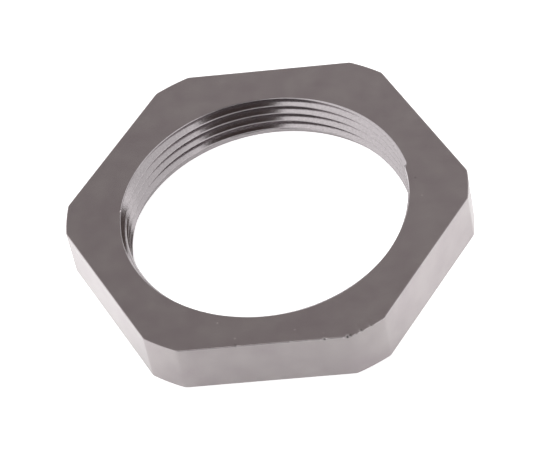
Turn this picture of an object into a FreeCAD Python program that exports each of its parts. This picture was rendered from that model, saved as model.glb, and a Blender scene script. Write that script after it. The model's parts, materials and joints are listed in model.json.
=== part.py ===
import FreeCAD, Part
import math
import os

# Cable gland locknut: one piece of brass bar, turned, tapped and then plated.
# The axis runs along Z, the bottom face lies on Z = 0 and two flats face -Y and +Y.

# Right-hand thread, in millimetres: nominal diameter, pitch, and the tilt of a flank from the horizontal
thread_diameter = 40.0
pitch = 1.5
flank_tilt = 30.0
# how far outside its basic size the thread was tapped, per side
thread_allowance = 0.08
# angle round the axis, from +X, where the middle of a crest runs out of the top face
crest_end_angle = 110.0

# Both ends of the thread: the countersink at the top and the plain relief with a cone at the bottom,
# by how far they step out from the crests, and the tilt of both cones
countersink_step = 0.55
relief_step = 0.8
relief_depth = 0.5
lead_angle = 45.0

# Hexagon: the metal between the nominal thread and a flat, and what is turned off each sharp corner
flat_wall = 5.0
corner_cut = 1.37
height = 7.6
edge_break = 0.15

across_flats = thread_diameter + 2 * flat_wall
corner_radius = across_flats / 2 / math.cos(math.radians(30)) - corner_cut

# Thread section: a crest is a quarter of the pitch wide, a groove bottom a twelfth
flank_slope = math.tan(math.radians(flank_tilt))
sharp_depth = pitch / 2 / flank_slope
crest_flat = pitch / 4
groove_flat = pitch / 12
crest_radius = thread_diameter / 2 - 5 / 8 * sharp_depth + thread_allowance
groove_radius = crest_radius + (pitch - crest_flat - groove_flat) / 2 / flank_slope

lead_slope = math.tan(math.radians(lead_angle))
relief_radius = crest_radius + relief_step
relief_lead = relief_step / lead_slope
countersink_depth = countersink_step / lead_slope


def section_wire(points):
    """A closed outline in the XZ plane, from (radius, height) pairs."""
    corners = [FreeCAD.Vector(radius, 0, z) for radius, z in points]
    return Part.makePolygon(corners + corners[:1])


def blank():
    """The hexagon bar with its corners turned round and the edges of both ends broken."""
    corners = []
    for k in range(6):
        corner = FreeCAD.Vector(across_flats / 2 / math.cos(math.radians(30)), 0, 0)
        corners.append(FreeCAD.Rotation(FreeCAD.Vector(0, 0, 1), 60 * k).multVec(corner))
    hexagon = Part.Face(Part.makePolygon(corners + corners[:1]))
    prism = hexagon.extrude(FreeCAD.Vector(0, 0, height))
    turned = prism.common(Part.makeCylinder(corner_radius, height))
    end_edges = [edge for edge in turned.Edges if edge.BoundBox.ZLength < edge_break / 2]
    return turned.makeChamfer(edge_break, end_edges)


def core_hole():
    """What is bored out besides the thread: the hole at the crests, the relief and both cones."""
    beyond = pitch
    outline = section_wire([
        (0, -beyond),
        (relief_radius, -beyond),
        (relief_radius, relief_depth),
        (crest_radius, relief_depth + relief_lead),
        (crest_radius, height - countersink_depth),
        (crest_radius + countersink_step + beyond * lead_slope, height + beyond),
        (0, height + beyond),
    ])
    return Part.Face(outline).revolve(FreeCAD.Vector(0, 0, 0), FreeCAD.Vector(0, 0, 1), 360)


def thread_groove():
    """What the tap cuts: the groove's section carried up a right-hand helix, past both faces."""
    inside = crest_flat / 4 / flank_slope
    mouth_radius = crest_radius - inside
    mouth_half = (pitch - crest_flat) / 2 + inside * flank_slope
    section = section_wire([
        (mouth_radius, -mouth_half),
        (groove_radius, -groove_flat / 2),
        (groove_radius, groove_flat / 2),
        (mouth_radius, mouth_half),
    ])
    low = -pitch
    path = []
    for k in range(math.ceil((height + pitch - low) / pitch)):
        one_turn = Part.makeHelix(pitch, pitch, crest_radius)
        one_turn.translate(FreeCAD.Vector(0, 0, k * pitch))
        path += one_turn.Edges
    groove = Part.Wire(path).makePipeShell([section], True, True)
    # a groove leaves the top face half a turn away from its crest
    start_angle = crest_end_angle + 180 - 360 * (height - low) / pitch
    groove.rotate(FreeCAD.Vector(0, 0, 0), FreeCAD.Vector(0, 0, 1), start_angle)
    groove.translate(FreeCAD.Vector(0, 0, low))
    return groove


def locknut():
    return blank().cut(core_hole()).cut(thread_groove()).Solids[0]


os.makedirs("parts", exist_ok=True)
locknut().exportStep("parts/locknut.step")
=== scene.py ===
import json
import math

import bmesh
import bpy
import numpy as np
from mathutils import Matrix, Vector


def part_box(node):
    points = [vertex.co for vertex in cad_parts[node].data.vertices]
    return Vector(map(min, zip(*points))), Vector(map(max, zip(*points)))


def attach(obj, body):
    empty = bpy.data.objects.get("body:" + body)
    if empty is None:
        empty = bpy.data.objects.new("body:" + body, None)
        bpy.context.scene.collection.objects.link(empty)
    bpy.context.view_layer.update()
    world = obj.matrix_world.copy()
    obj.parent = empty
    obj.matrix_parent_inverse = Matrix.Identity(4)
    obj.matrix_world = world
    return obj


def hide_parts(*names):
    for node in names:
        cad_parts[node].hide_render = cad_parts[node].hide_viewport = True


# Cable gland locknut of nickel-plated brass, lying on a pale floor.
# The nut's lengths are in millimetres and turned to metres where a mesh or a material is made.
# Angles are in degrees, and round the axis they run anticlockwise from +X, seen from above.

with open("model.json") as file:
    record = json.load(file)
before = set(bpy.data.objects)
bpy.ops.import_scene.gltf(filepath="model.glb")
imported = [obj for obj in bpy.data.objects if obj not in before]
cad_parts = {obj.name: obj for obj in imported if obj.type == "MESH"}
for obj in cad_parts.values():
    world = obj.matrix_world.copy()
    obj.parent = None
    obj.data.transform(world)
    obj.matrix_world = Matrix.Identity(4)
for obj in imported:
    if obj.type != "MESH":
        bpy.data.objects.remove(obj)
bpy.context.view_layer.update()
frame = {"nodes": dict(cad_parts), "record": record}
millimetre = 0.001
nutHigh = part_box("locknut")[1]
threadMount = next(mount for mount in frame["record"]["mounts"] if mount["name"] == "thread")
print("frame loaded:", sorted(frame["nodes"]))

nut = {
    "flatFromAxis": nutHigh.y / millimetre,
    "cornerFromAxis": nutHigh.x / millimetre,
    "height": nutHigh.z / millimetre,
    "edgeBreak": 0.15,              # round along the outer edges of both faces
    "cornerBlend": 0.1,             # softness of the upright edges beside the turned corners
    # thread: crest and groove bottom are flat, with slanting flanks between them
    "crestFromAxis": threadMount["dims"]["r_mm"],
    "pitch": 1.5,
    "flankTilt": 33,                # from the horizontal
    "crestFlat": 0.1,
    "grooveFlat": 0.125,
    "crestEndAngle": 100,           # where the middle of a crest runs out of the top face
    "crestBlend": 0.08,             # softness of the corners, at the crest and in the groove
    "grooveBlend": 0.08,
    # cone at the top of the hole, cut by a tool that ran off the axis
    "countersink": 0.47,            # how far it opens past the crests
    "countersinkTilt": 30,          # from the axis
    "countersinkOff": 0.5,
    "countersinkTowards": 238,
    "countersinkLeast": 0.05,
    "countersinkBlend": 0.02,       # softness where the cone meets the thread, and at the rim
    "rimBlend": 0.03,
    "rimRound": 0.06,
    "coneStart": 0.04,              # how far under the face the cone's first row is
    # burr: a lip pushed in over the rim, which grows slowly and ends at once
    "burrFrom": -60,
    "burrTo": 12,
    "burrGrowth": 35,
    "burrEnd": 2,
    "burrDepth": 0.36,
    "burrHeight": 0.3,
    # plain relief at the bottom, and the cone between it and the crests
    "reliefStep": 0.8,              # out from the crests
    "reliefDepth": 0.8,
    "reliefBlend": 0.02,
    "leadDepth": 0.5,
    "footBreak": 0.05,
    # dents in the edge of the top face
    "nicks": (
        {"middle": (11.2, -24.9, 7.6), "reach": 0.5, "depth": 0.14},
        {"middle": (12.9, -24.0, 7.6), "reach": 0.4, "depth": 0.08},
        {"middle": (14.2, -23.3, 7.6), "reach": 0.4, "depth": 0.08},
        {"middle": (8.1, -25.0, 7.6), "reach": 0.45, "depth": 0.1},
        {"middle": (3.4, -25.0, 7.6), "reach": 0.35, "depth": 0.05},
        {"middle": (-3.6, -25.0, 7.6), "reach": 0.4, "depth": 0.06},
    ),
    # columns of the mesh: even ones, and more beside the upright edges and at the nicks
    "columns": 420,
    "columnsAtEdge": (-0.45, -0.28, -0.13, 0, 0.13, 0.28, 0.45),
    "columnsAtNick": (-0.6, -0.3, 0, 0.3, 0.6),
    "sharpFrom": 32,                # edges that bend more than this are shaded sharp
    "mergeWithin": 2e-7,            # m, points closer than this become one
    "tiniestEdge": 1e-8,            # m
}


def largerOf(a, b, blend):
    # larger of two values, rounded where they come closer than blend: plus overlap^2 / (4 blend)
    overlap = np.maximum(blend - np.abs(a - b), 0)
    return np.maximum(a, b) + overlap ** 2 / (4 * blend)


def smallerOf(a, b, blend):
    # minus the larger of both values turned negative
    return -largerOf(-a, -b, blend)


def halfFlatAngle(shape):
    # half the angle that a flat takes up, whose cosine is the flat's distance over the corner's
    return math.degrees(math.acos(shape["flatFromAxis"] / shape["cornerFromAxis"]))


def columnAngles(shape):
    # even angles all round, then each upright edge and each nick plus its own small offsets
    even = np.linspace(0, 360, shape["columns"] + 1)
    flatMiddles = 30 + 60 * np.arange(6)
    halfFlat = halfFlatAngle(shape)
    edges = np.concatenate([flatMiddles - halfFlat, flatMiddles + halfFlat])
    besideEdges = (edges[:, None] + np.array(shape["columnsAtEdge"])[None, :]).ravel()
    nickMiddles = np.array([nick["middle"] for nick in shape["nicks"]])
    nicks = np.degrees(np.arctan2(nickMiddles[:, 1], nickMiddles[:, 0])) % 360
    besideNicks = (nicks[:, None] + np.array(shape["columnsAtNick"])[None, :]).ravel()
    return np.unique(np.round(np.concatenate([even, besideEdges, besideNicks]), 5))


def outlineRadius(angle, shape):
    # hexagon with turned corners: a flat's distance over the cosine, or less on the turned circle
    fromMiddle = np.radians(np.mod(angle, 60) - 30)
    flat = shape["flatFromAxis"] / np.cos(fromMiddle)
    return smallerOf(flat, shape["cornerFromAxis"], shape["cornerBlend"])


def threadRadius(angle, z, shape):
    # height above or below the nearest crest's middle gives the cut: none on the crest, then
    # that height over the flank's slope, then the full depth in the groove
    pitch = shape["pitch"]
    crestHeight = shape["height"] + pitch * (angle - shape["crestEndAngle"]) / 360
    fromCrest = np.abs(np.mod(z - crestHeight + pitch / 2, pitch) - pitch / 2)
    slope = math.tan(math.radians(shape["flankTilt"]))
    depth = (pitch - shape["crestFlat"] - shape["grooveFlat"]) / 2 / slope
    flank = (fromCrest - shape["crestFlat"] / 2) / slope
    cut = smallerOf(largerOf(flank, 0, shape["crestBlend"]), depth, shape["grooveBlend"])
    return shape["crestFromAxis"] + cut


def helixOffsets(shape):
    # heights of one pitch's rows from a crest's middle, close together at the corners of crest and
    # groove, then the same less one pitch, two pitches and so on
    pitch = shape["pitch"]
    slope = math.tan(math.radians(shape["flankTilt"]))
    atCrest = np.linspace(-0.7, 1, 6) * shape["crestBlend"] * slope + shape["crestFlat"] / 2
    onFlank = [0.25, 0.45, 0.6]
    atGroove = (np.linspace(-1, 1, 3) * shape["grooveBlend"] * slope
                + pitch / 2 - shape["grooveFlat"] / 2)
    upwards = np.concatenate([[0], atCrest, onFlank, atGroove])
    onePitch = np.unique(np.round(np.concatenate([upwards, -upwards]), 6))
    turns = math.ceil(shape["height"] / pitch) + 2
    return (pitch - pitch * np.arange(turns)[:, None] + onePitch[None, ::-1]).ravel()


def burrInwards(angle, shape):
    # depth times an even growth over the first angles, times an even end over the last ones
    past = np.mod(angle - shape["burrFrom"] + 90, 360) - 90
    length = shape["burrTo"] - shape["burrFrom"]
    growing = np.clip(past / shape["burrGrowth"], 0, 1)
    ending = np.clip((length + shape["burrEnd"] - past) / shape["burrEnd"], 0, 1)
    return shape["burrDepth"] * growing * ending


def ringSection(shape):
    # the closed section at every angle: up the outside, over the top, down the hole and back
    # underneath, in blocks of rows, each with its radius, height and finish
    angle = columnAngles(shape)[None, :]
    height, edge = shape["height"], shape["edgeBreak"]
    outline = outlineRadius(angle, shape)
    allRound = np.ones_like(angle)
    quarter = np.radians(np.linspace(0, 90, 6))[:, None]
    blocks = []

    def block(radius, z, finish):
        blocks.append((radius * allRound, z * allRound, finish))

    # outside wall, and the round up to the top face
    wallRows = np.array([0, 0.06, 0.4, 1.2])[:, None]
    wall = np.concatenate([edge + wallRows, [[height / 2]], height - edge - wallRows[::-1]])
    block(outline + 0 * wall, wall, "flat")
    roundIn = edge * (1 - np.cos(quarter[1:]))
    block(outline - roundIn, height - edge + edge * np.sin(quarter[1:]), "flat")

    # top face, from its outer edge to the rim: the countersink or the thread, less the burr
    offTowards = np.radians(angle - shape["countersinkTowards"])
    sink = shape["countersink"] + shape["countersinkOff"] * np.cos(offTowards)
    sink = np.maximum(sink, shape["countersinkLeast"])
    rimCone = shape["crestFromAxis"] + sink
    burr = burrInwards(angle, shape)
    rim = largerOf(threadRadius(angle, height, shape), rimCone, shape["rimBlend"]) - burr
    faceShares = np.array([0.012, 0.06, 0.2, 0.4, 0.6, 0.8, 0.94, 0.988])[:, None]
    faceOuter = outline - edge
    faceInner = rim + shape["rimRound"]
    block(faceOuter + (faceInner - faceOuter) * faceShares, height + 0 * faceShares, "face")

    # round of the rim, and the cone down to the crests, with the burr's lip fading out below it
    rimArc = np.radians(np.array([0, 15, 30, 45]))[:, None]
    rimZ = height - shape["rimRound"] * (1 - np.cos(rimArc))
    block(faceInner - shape["rimRound"] * np.sin(rimArc), rimZ, "bore")
    coneSlope = math.tan(math.radians(shape["countersinkTilt"]))
    coneRows = np.linspace(0, 1, 26)[:, None]
    coneStart = shape["coneStart"]
    coneZ = height - coneStart - (sink / coneSlope - coneStart) * coneRows
    cone = rimCone - (height - coneZ) * coneSlope
    lip = burr * np.clip(1 - (height - coneZ) / shape["burrHeight"], 0, 1)
    coneOrThread = largerOf(threadRadius(angle, coneZ, shape), cone, shape["countersinkBlend"])
    block(coneOrThread - lip, coneZ, "bore")

    # thread: its rows follow the helix and are cut off at both cones
    threadTop = height - sink / coneSlope
    threadFoot = shape["reliefDepth"] + shape["leadDepth"]
    crestHeight = height + shape["pitch"] * (angle - shape["crestEndAngle"]) / 360
    threadZ = np.clip(crestHeight + helixOffsets(shape)[:, None], threadFoot, threadTop)
    block(threadRadius(angle, threadZ, shape), threadZ, "bore")

    # cone out to the relief, the relief, and the round at its foot
    reliefRadius = shape["crestFromAxis"] + shape["reliefStep"]
    blend = shape["reliefBlend"]
    leadZ = np.linspace(threadFoot, shape["reliefDepth"], 15)[1:, None]
    lead = shape["crestFromAxis"] + shape["reliefStep"] * (threadFoot - leadZ) / shape["leadDepth"]
    block(largerOf(threadRadius(angle, leadZ, shape), lead, blend), leadZ, "bore")
    foot = shape["footBreak"]
    reliefZ = np.array([0.74, 0.6, 0.45, 0.3, 0.15, foot + 0.03, foot])[:, None]
    block(largerOf(threadRadius(angle, reliefZ, shape), reliefRadius, blend), reliefZ, "bore")
    footInner = largerOf(threadRadius(angle, 0, shape), reliefRadius, blend) + foot
    block(footInner - foot * np.cos(quarter[1:]), foot - foot * np.sin(quarter[1:]), "bore")

    # bottom face, and the round back up to the wall
    underShares = np.array([0.012, 0.06, 0.25, 0.5, 0.75, 0.94, 0.988])[:, None]
    block(footInner + (faceOuter - footInner) * underShares, 0 * underShares, "face")
    block(outline - edge * (1 - np.sin(quarter[:-1])), edge - edge * np.cos(quarter[:-1]), "flat")

    radii, heights, finishes = zip(*blocks)
    finishOfRow = np.repeat(finishes, [len(rows) for rows in radii])
    return angle[0], np.concatenate(radii), np.concatenate(heights), finishOfRow


def pushNicks(points, turn, shape):
    # every point near a nick moves in and down, by the depth times a smooth step of its nearness
    outwards = np.stack([np.cos(turn), np.sin(turn), np.ones_like(turn)], axis=2) / math.sqrt(2)
    for nick in shape["nicks"]:
        apart = np.linalg.norm(points - np.array(nick["middle"]), axis=2)
        near = np.clip(1 - apart / nick["reach"], 0, 1)
        push = nick["depth"] * near ** 2 * (3 - 2 * near)
        points = points - push[:, :, None] * outwards
    return points


def makeNut(shape):
    # each point of the section at (radius cos, radius sin, z) of its angle, joined in a grid
    # whose last row meets the first
    angle, radius, z, finishOfRow = ringSection(shape)
    turn = np.radians(angle)[None, :]
    points = np.stack([radius * np.cos(turn), radius * np.sin(turn), z], axis=2)
    points = pushNicks(points, turn, shape) * millimetre
    rows, columns = radius.shape
    index = np.arange(rows * columns).reshape(rows, columns)
    after = np.roll(index, -1, axis=0)
    faces = np.stack([index[:, :-1], index[:, 1:], after[:, 1:], after[:, :-1]], axis=2)
    mesh = bpy.data.meshes.new("locknut_body")
    mesh.from_pydata(points.reshape(-1, 3), [], faces.reshape(-1, 4))

    # a row's finish is its material's number, and the turned corners look like the faces
    slots = {"face": 0, "flat": 1, "bore": 2}
    slotOfRow = np.array([slots[finish] for finish in finishOfRow])[:, None]
    fromMiddle = np.abs(np.mod((angle[:-1] + angle[1:]) / 2, 60) - 30)
    turned = (slotOfRow == slots["flat"]) & (fromMiddle > halfFlatAngle(shape))[None, :]
    faceSlot = np.where(turned, slots["face"], slotOfRow)
    mesh.polygons.foreach_set("material_index", faceSlot.ravel().astype(np.int32))

    # the seam and the rows that end at a face are closed by merging points that lie together
    edited = bmesh.new()
    edited.from_mesh(mesh)
    bmesh.ops.remove_doubles(edited, verts=edited.verts, dist=shape["mergeWithin"])
    bmesh.ops.dissolve_degenerate(edited, edges=edited.edges, dist=shape["tiniestEdge"])
    openEdges = sum(1 for edge in edited.edges if not edge.is_manifold)
    edited.to_mesh(mesh)
    edited.free()
    mesh.shade_smooth()
    mesh.set_sharp_from_angle(angle=math.radians(shape["sharpFrom"]))
    piece = bpy.data.objects.new("locknut_body", mesh)
    bpy.context.scene.collection.objects.link(piece)
    print("nut made:", len(mesh.vertices), "points,", len(mesh.polygons), "faces,",
          openEdges, "open edges")
    return piece


def linear(hexColour):
    # sRGB hex to linear red, green, blue and alpha
    parts = [int(hexColour[i:i + 2], 16) / 255 for i in (1, 3, 5)]
    return [c / 12.92 if c <= 0.04045 else ((c + 0.055) / 1.055) ** 2.4 for c in parts] + [1]


def addNode(tree, kind, settings=None, inputs=None):
    # one node, with its settings, and its inputs given as values or as another node's output
    node = tree.nodes.new(kind)
    for name, value in (settings or {}).items():
        setattr(node, name, value)
    for name, value in (inputs or {}).items():
        if isinstance(value, bpy.types.NodeSocket):
            tree.links.new(value, node.inputs[name])
        else:
            node.inputs[name].default_value = value
    return node


# Nickel plate over turned brass: bright grey, a little warm, satin rather than mirror
nickel = {
    "colour": "#B7B1B1",            # the plating swings slowly between these two
    "patchColour": "#ADA5A7",
    "patchSize": 4.0,               # mm
    "threadColour": "#B8B2B4",      # and the thread's chatter marks between these two
    "threadMarkColour": "#AAA4A6",
    "roughness": {"face": 0.25, "flat": 0.25, "bore": 0.14},
    # mm; real tool marks and chatter are about 0.1 mm apart, too fine to show in the render,
    # so they are drawn as coarse as this
    "markWidth": {"face": 0.5, "flat": 0.4, "bore": 0.22},
    "markHeight": {"face": 0.003, "flat": 0.003, "bore": 0.005},
    # how much the marks vary along X, Y and Z, so that those on the flats stand upright
    "markStretch": {"face": (1, 1, 0), "flat": (1, 1, 0.1), "bore": (1, 1, 1)},
    "noiseRange": (0.3, 0.7),       # noise keeps between these, and they become 0 and 1
    # small dents and specks, with painted shade and painted highlights: middle, reach and depth in
    # mm, and how bright it looks, where the plating is 1
    "spots": (
        # in and beside the nicks of the front edge: painted shade darkens the nicks (look below
        # 1), painted highlights brighten points beside them (look above 1)
        {"middle": (11.1, -24.85, 7.46), "reach": 0.34, "depth": 0.03, "look": 0.15},
        {"middle": (11.5, -24.73, 7.52), "reach": 0.3, "depth": 0.02, "look": 0.3},
        {"middle": (10.6, -25.0, 7.5), "reach": 0.18, "depth": 0, "look": 1.7},
        {"middle": (14.2, -23.3, 7.6), "reach": 0.28, "depth": 0.02, "look": 0.6},
        {"middle": (16.0, -22.1, 7.6), "reach": 0.22, "depth": 0.01, "look": 0.7},
        {"middle": (8.1, -24.93, 7.45), "reach": 0.3, "depth": 0.03, "look": 0.3},
        {"middle": (7.6, -25.0, 7.5), "reach": 0.16, "depth": 0, "look": 1.6},
        {"middle": (6.1, -25.0, 7.5), "reach": 0.22, "depth": 0, "look": 1.3},
        {"middle": (3.4, -24.9, 7.6), "reach": 0.25, "depth": 0.02, "look": 0.6},
        {"middle": (-3.6, -24.8, 7.6), "reach": 0.35, "depth": 0.02, "look": 0.6},
        {"middle": (12.9, -24.0, 7.6), "reach": 0.35, "depth": 0.03, "look": 0.55},
        {"middle": (12.3, -24.6, 7.6), "reach": 0.3, "depth": 0.02, "look": 0.7},
        # specks on the top face
        {"middle": (4.2, -23.0, 7.6), "reach": 0.16, "depth": 0.01, "look": 1.6},
        {"middle": (8.0, -23.95, 7.6), "reach": 0.16, "depth": 0.01, "look": 1.35},
        {"middle": (-3.7, -23.6, 7.6), "reach": 0.2, "depth": 0.01, "look": 1.4},
        {"middle": (-6.1, -20.7, 7.6), "reach": 0.16, "depth": 0.01, "look": 1.6},
        {"middle": (21.2, -1.3, 7.6), "reach": 0.2, "depth": 0.01, "look": 1.3},
        {"middle": (20.3, 1.9, 7.6), "reach": 0.3, "depth": 0.01, "look": 0.8},
        # painted highlights: bright points on the rim at the left
        {"middle": (-19.95, 0.65, 7.58), "reach": 0.3, "depth": 0.01, "look": 1.9},
        {"middle": (-19.3, -5.0, 7.58), "reach": 0.2, "depth": 0.01, "look": 1.6},
    ),
}


def nickelPlate(name, marks, finish):
    # metal whose colour is the tone times each spot's look, and whose bump is noise stretched
    # along the cut, less a smooth pit for every spot. The looks paint shade into the nicks and
    # highlights beside them and on the rim
    material = bpy.data.materials.new(name)
    material.use_nodes = True
    tree = material.node_tree
    shader = tree.nodes["Principled BSDF"]
    shader.inputs["Metallic"].default_value = 1
    shader.inputs["Roughness"].default_value = finish["roughness"][marks]
    place = addNode(tree, "ShaderNodeTexCoord").outputs["Object"]
    patches = addNode(tree, "ShaderNodeTexNoise", None, {
        "Vector": place, "Scale": 1 / (finish["patchSize"] * millimetre), "Detail": 3})
    along = addNode(tree, "ShaderNodeVectorMath", {"operation": "MULTIPLY"}, {
        0: place, 1: finish["markStretch"][marks]})
    cut = addNode(tree, "ShaderNodeTexNoise", None, {
        "Vector": along.outputs[0], "Scale": 1 / (finish["markWidth"][marks] * millimetre),
        "Detail": 2})
    if marks == "bore":
        swing, first, second = cut, "threadColour", "threadMarkColour"
    else:
        swing, first, second = patches, "colour", "patchColour"
    share = addNode(tree, "ShaderNodeMapRange", None, {
        "Value": swing.outputs["Fac"],
        "From Min": finish["noiseRange"][0], "From Max": finish["noiseRange"][1]})
    # a mix of colours has its share at input 0, the two colours at 6 and 7, and its result at 2
    tone = addNode(tree, "ShaderNodeMix", {"data_type": "RGBA"}, {
        0: share.outputs["Result"], 6: linear(finish[first]), 7: linear(finish[second])})

    height = addNode(tree, "ShaderNodeMath", {"operation": "MULTIPLY"}, {
        0: cut.outputs["Fac"], 1: finish["markHeight"][marks] * millimetre})
    look = addNode(tree, "ShaderNodeValue")
    look.outputs[0].default_value = 1
    # each spot's look scales the colour: painted shade in the nicks, painted highlights beside
    # them and on the rim, lighter and darker specks on the top face
    for spot in finish["spots"]:
        apart = addNode(tree, "ShaderNodeVectorMath", {"operation": "DISTANCE"}, {
            0: place, 1: [c * millimetre for c in spot["middle"]]})
        near = addNode(tree, "ShaderNodeMapRange", {"interpolation_type": "SMOOTHSTEP"}, {
            "Value": apart.outputs["Value"],
            "From Min": spot["reach"] * millimetre, "From Max": 0})
        height = addNode(tree, "ShaderNodeMath", {"operation": "MULTIPLY_ADD"}, {
            0: near.outputs["Result"], 1: -spot["depth"] * millimetre, 2: height.outputs[0]})
        look = addNode(tree, "ShaderNodeMath", {"operation": "MULTIPLY_ADD"}, {
            0: near.outputs["Result"], 1: spot["look"] - 1, 2: look.outputs[0]})
    shaded = addNode(tree, "ShaderNodeVectorMath", {"operation": "SCALE"}, {
        0: tone.outputs[2], "Scale": look.outputs[0]})
    tree.links.new(shaded.outputs[0], shader.inputs["Base Color"])
    bump = addNode(tree, "ShaderNodeBump", None, {"Height": height.outputs[0], "Distance": 1})
    tree.links.new(bump.outputs["Normal"], shader.inputs["Normal"])
    return material


body = makeNut(nut)
for material in (
    nickelPlate("nickelOnTurnedFace", "face", nickel),      # soft satin with a faint, even grain
    nickelPlate("nickelOnBarFlat", "flat", nickel),         # satin with faint upright marks
    nickelPlate("nickelInThread", "bore", nickel),          # shinier, with grainy chatter marks
):
    body.data.materials.append(material)
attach(body, "root")
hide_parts("locknut")
print("nut plated:", len(body.data.materials), "finishes")

studio = {
    "floorSize": 3.0,               # m
    "floorColour": "#F2F2F2",
    "floorGlow": 0.6,               # added for the camera, so that the floor stays white
    "floorGlowMirrored": 0.2,
    "tentLight": 1.25,              # a white tent all round, with darker patches for the metal
    "tentPatches": {
        "backWall": {               # mirrored by the top face
            "towards": (-0.12, 0.52, 0.85), "reach": 0, "edge": 40,
            "light": 0.325, "colour": "#FFF4F3"},
        "roofGap": {                # by the thread's flanks, in the middle of the far side
            "towards": (0.134, -0.338, 0.932), "reach": 16, "edge": 2.5,
            "light": 0.065, "colour": "#FFE0D8"},
        "frontWall": {              # by the countersink and the round crests of the far side
            "towards": (0, -0.98, 0.1), "reach": 31, "edge": 10,
            "light": 0.27, "colour": "#FFFFFF"},
        "rightSide": {              # by the flanks left of the middle
            "towards": (0.63, 0.15, 0.76), "reach": 13, "edge": 14,
            "light": 0.93, "colour": "#FFFFFF"},
        "leftGap": {                # by the left end of the top face
            "towards": (-0.235, 0.66, 0.714), "reach": 1, "edge": 5,
            "light": 0.2, "colour": "#FFF4F3"},
        "lowBack": {                # by the flanks at the left end of the hole
            "towards": (0.55, 0.76, 0.36), "reach": 11, "edge": 3,
            "light": 0.12, "colour": "#FFE8E0"},
    },
    # pools of light on the floor, which the flats and the relief mirror, in m and W
    "pools": {
        "leftPool": {
            "middle": (-0.0365, -0.012, 0), "lampFrom": (0, 0, 0.6),
            "width": 0.06, "power": 10.8, "fade": 1},
        "rightPool": {
            "middle": (0.036, 0.006, 0), "lampFrom": (0, 0, 0.6),
            "width": 0.071, "power": 7.8, "fade": 0.2},
        "holePool": {
            "middle": (0, 0.014, 0), "lampFrom": (0.05, -0.42, 0.42),
            "width": 0.05, "power": 5.5, "fade": 1},
    },
    "poolLampRadius": 0.01,         # m
}


def makeFloor(settings):
    # a square in Z = 0, of pale paint plus a glow that only the camera and mirrored rays see
    half = settings["floorSize"] / 2
    mesh = bpy.data.meshes.new("floor")
    corners = [(-half, -half, 0), (half, -half, 0), (half, half, 0), (-half, half, 0)]
    mesh.from_pydata(corners, [], [(0, 1, 2, 3)])
    floor = bpy.data.objects.new("floor", mesh)
    bpy.context.scene.collection.objects.link(floor)
    material = bpy.data.materials.new("paleFloor")
    material.use_nodes = True
    tree = material.node_tree
    tree.nodes.clear()
    paint = addNode(tree, "ShaderNodeBsdfDiffuse", None, {
        "Color": linear(settings["floorColour"])})
    rays = addNode(tree, "ShaderNodeLightPath").outputs
    mirrored = addNode(tree, "ShaderNodeMath", {"operation": "MAXIMUM"}, {
        0: rays["Is Glossy Ray"], 1: rays["Is Transmission Ray"]})
    mirroredGlow = addNode(tree, "ShaderNodeMath", {"operation": "MULTIPLY"}, {
        0: mirrored.outputs[0], 1: settings["floorGlowMirrored"]})
    strength = addNode(tree, "ShaderNodeMath", {"operation": "MULTIPLY_ADD"}, {
        0: rays["Is Camera Ray"], 1: settings["floorGlow"], 2: mirroredGlow.outputs[0]})
    glow = addNode(tree, "ShaderNodeEmission", None, {
        "Color": (1, 1, 1, 1), "Strength": strength.outputs[0]})
    both = addNode(tree, "ShaderNodeAddShader", None, {0: paint.outputs[0], 1: glow.outputs[0]})
    addNode(tree, "ShaderNodeOutputMaterial", None, {"Surface": both.outputs[0]})
    mesh.materials.append(material)


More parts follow.
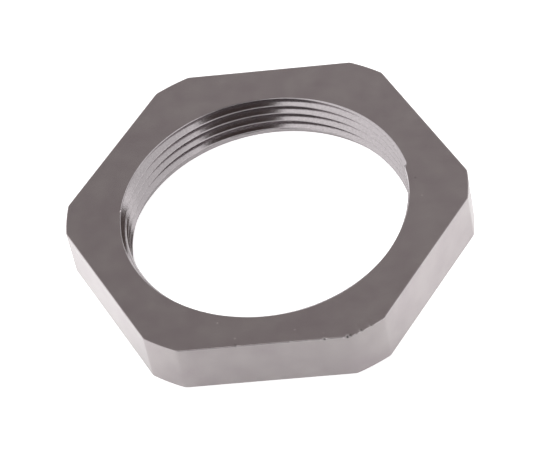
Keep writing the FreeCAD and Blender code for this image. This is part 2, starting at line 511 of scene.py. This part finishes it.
def makeRoom(settings):
    # each patch covers the directions within its reach of its middle, and fades out over its edge
    world = bpy.data.worlds.new("tent")
    world.use_nodes = True
    tree = world.node_tree
    direction = addNode(tree, "ShaderNodeTexCoord").outputs["Generated"]
    light = addNode(tree, "ShaderNodeRGB").outputs[0]
    light.default_value = [settings["tentLight"]] * 3 + [1]
    for patch in settings["tentPatches"].values():
        middle = Vector(patch["towards"]).normalized()
        along = addNode(tree, "ShaderNodeVectorMath", {"operation": "DOT_PRODUCT"}, {
            0: direction, 1: middle})
        inside = addNode(tree, "ShaderNodeMapRange", {"interpolation_type": "SMOOTHSTEP"}, {
            "Value": along.outputs["Value"],
            "From Min": math.cos(math.radians(patch["reach"] + patch["edge"])),
            "From Max": math.cos(math.radians(patch["reach"]))})
        patchLight = [c * patch["light"] for c in linear(patch["colour"])]
        light = addNode(tree, "ShaderNodeMix", {"data_type": "RGBA"}, {
            0: inside.outputs["Result"], 6: light, 7: patchLight}).outputs[2]
    tree.links.new(light, tree.nodes["Background"].inputs["Color"])
    bpy.context.scene.world = world


def makePools(settings):
    # each lamp points at its pool and opens as wide as the pool seen from there: twice the angle
    # whose tangent is half the width over the distance. The metal doesn't mirror the lamp itself
    for name, pool in settings["pools"].items():
        lampFrom = Vector(pool["lampFrom"])
        lamp = bpy.data.lights.new(name, "SPOT")
        lamp.energy = pool["power"]
        lamp.spot_size = 2 * math.atan(pool["width"] / 2 / lampFrom.length)
        lamp.spot_blend = pool["fade"]
        lamp.shadow_soft_size = settings["poolLampRadius"]
        source = bpy.data.objects.new(name, lamp)
        source.location = Vector(pool["middle"]) + lampFrom
        source.rotation_euler = lampFrom.to_track_quat("Z", "Y").to_euler()
        source.visible_glossy = False
        bpy.context.scene.collection.objects.link(source)


view = {
    "place": (0.05567457, -0.30773178, 0.34230546),     # m
    "aim": (-0.00039572, 0.00140622, 0.00134002),
    "roll": -12.70248,
    "lens": 226.154,                # mm
    "sensorWidth": 36,
}


def makeCamera(settings):
    # looks from its place to the aim, upright, then turned by the roll about that line
    data = bpy.data.cameras.new("camera")
    data.lens = settings["lens"]
    data.sensor_width = settings["sensorWidth"]
    camera = bpy.data.objects.new("camera", data)
    place = Vector(settings["place"])
    back = place - Vector(settings["aim"])
    upright = back.to_track_quat("Z", "Y").to_matrix()
    roll = Matrix.Rotation(math.radians(settings["roll"]), 3, back.normalized())
    camera.rotation_mode = "QUATERNION"
    camera.rotation_quaternion = (roll @ upright).to_quaternion()
    camera.location = place
    bpy.context.scene.collection.objects.link(camera)
    bpy.context.scene.camera = camera


makeFloor(studio)
makeRoom(studio)
makePools(studio)
makeCamera(view)
bpy.context.scene.view_settings.view_transform = "Standard"
print("studio ready")
